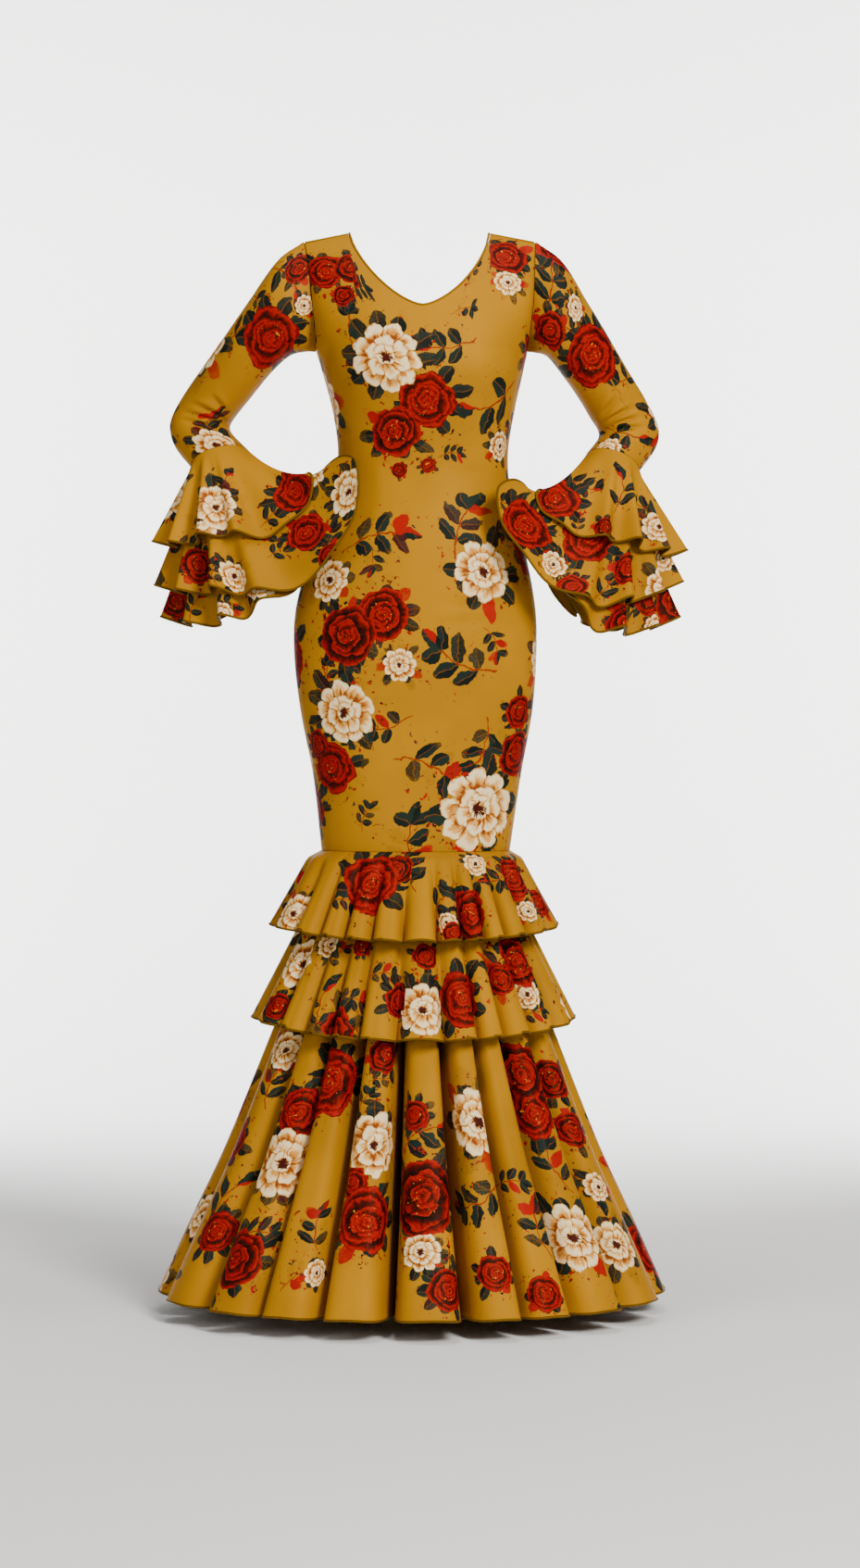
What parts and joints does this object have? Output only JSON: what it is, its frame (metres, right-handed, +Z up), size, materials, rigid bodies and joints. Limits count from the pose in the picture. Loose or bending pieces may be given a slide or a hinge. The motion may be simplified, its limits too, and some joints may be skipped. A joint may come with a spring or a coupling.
{
  "type": "flamenco dress",
  "caption": "Fitted full-length flamenco dress in printed stretch cloth: rounded V neck, long sleeves with layered ruffle cuffs, ruffle tiers at the knee and a wide fluted skirt.",
  "frame": {"origin": "on the middle line of the dress at the height of the side-neck points, between the two shoulder seams, where it hangs from the shoulders", "axes": "+Z up, the front of the dress faces -Y, the wearer's left sleeve is on +X"},
  "size_m": [0.7252, 0.6782, 1.4457],
  "materials": {
    "printed_cloth": "smooth stretch crepe with a soft sheen, mustard ground with a floral print on the outside and a plain reverse",
    "binding_cloth": "plain olive-mustard edge binding with a soft sheen"
  },
  "bodies": {
    "root": {"bodice_front": "printed_cloth", "bodice_back": "printed_cloth", "neck_binding": "binding_cloth", "sleeve_left": "printed_cloth", "sleeve_right": "printed_cloth", "cuff_left_upper": "printed_cloth", "cuff_left_middle": "printed_cloth", "cuff_left_lower": "printed_cloth", "cuff_right_upper": "printed_cloth", "cuff_right_middle": "printed_cloth", "cuff_right_lower": "printed_cloth", "tier_upper": "printed_cloth", "tier_lower": "printed_cloth", "skirt_flare": "printed_cloth"}
  },
  "joints": []
}
